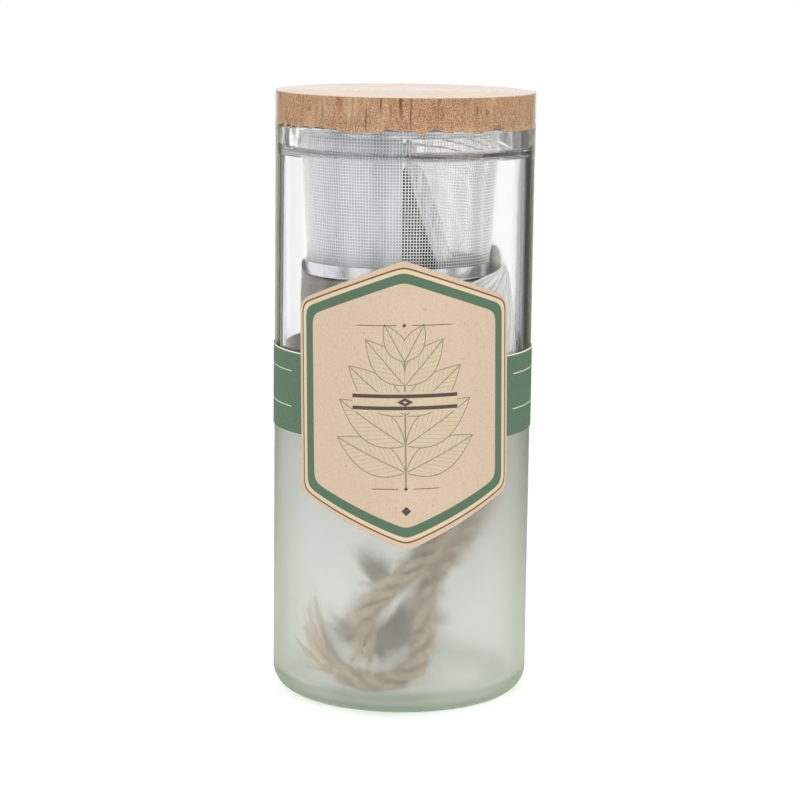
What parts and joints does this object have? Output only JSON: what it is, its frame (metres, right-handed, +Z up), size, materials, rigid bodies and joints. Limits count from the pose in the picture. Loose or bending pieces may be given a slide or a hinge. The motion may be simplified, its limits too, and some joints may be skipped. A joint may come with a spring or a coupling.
{
  "type": "jar planter kit",
  "caption": "Tall cylindrical glass jar planter with a cork lid, a steel net pot hanging in the mouth, bagged growing goods, a paper band and a kraft label, and a cotton wick.",
  "frame": {"origin": "centre of the foot of the jar, on the surface that it stands on", "axes": "+Z up along the jar's axis, -Y towards the front label"},
  "size_m": [0.0888, 0.0893, 0.2074],
  "materials": {
    "jar_glass": "clear at the top, satin frosted below the paper band",
    "green_paper": "matte printed",
    "kraft_paper": "matte uncoated with fibre flecks",
    "clear_film": "clear gloss film",
    "cork": "sanded natural cork",
    "polished_steel": "polished stainless steel",
    "steel_mesh": "woven stainless wire",
    "cotton_rope": "natural twisted cotton",
    "coir": "loose coconut fibre",
    "grey_film": "satin blue-grey film",
    "fertiliser": "fine granules",
    "carbon": "black granules",
    "seed": "small dark seeds"
  },
  "bodies": {
    "jar": {"glass_jar": "jar_glass", "paper_band": "green_paper", "front_label": "kraft_paper"},
    "wick": {"wick": "cotton_rope"},
    "medium_bag": {"medium_pouch": "clear_film", "growing_medium": "coir"},
    "net_pot": {"pot_rim": "polished_steel", "pot_wall_mesh": "steel_mesh", "pot_base_band": "polished_steel", "pot_base_mesh": "steel_mesh", "wick_eyelet": "polished_steel"},
    "carbon": {"carbon_bag": "clear_film", "carbon_granules": "carbon"},
    "plant_food": {"plant_food_sachet": "grey_film", "plant_food_granules": "fertiliser"},
    "seed": {"seed_packet": "kraft_paper", "seeds": "seed"},
    "lid": {"cork_lid": "cork"},
    "tape": {"lid_tape": "clear_film"}
  },
  "joints": [
    {"name": "wick_lift", "type": "slide", "parent": "jar", "child": "wick", "axis": [0, 0, 1], "range_m": [0, 0.2]},
    {"name": "medium_lift", "type": "slide", "parent": "wick", "child": "medium_bag", "axis": [0, 0, 1], "range_m": [0, 0.12]},
    {"name": "pot_lift", "type": "slide", "parent": "medium_bag", "child": "net_pot", "axis": [0, 0, 1], "range_m": [0, 0.065]},
    {"name": "carbon_lift", "type": "slide", "parent": "net_pot", "child": "carbon", "axis": [0, 0, 1], "range_m": [0, 0.06]},
    {"name": "plant_food_lift", "type": "slide", "parent": "carbon", "child": "plant_food", "axis": [0, 0, 1], "range_m": [0, 0.06]},
    {"name": "seed_lift", "type": "slide", "parent": "plant_food", "child": "seed", "axis": [0, 0, 1], "range_m": [0, 0.06]},
    {"name": "lid_lift", "type": "slide", "parent": "seed", "child": "lid", "axis": [0, 0, 1], "range_m": [0, 0.06]},
    {"name": "tape_lift", "type": "slide", "parent": "lid", "child": "tape", "axis": [0, 0, 1], "range_m": [0, 0.04]}
  ]
}
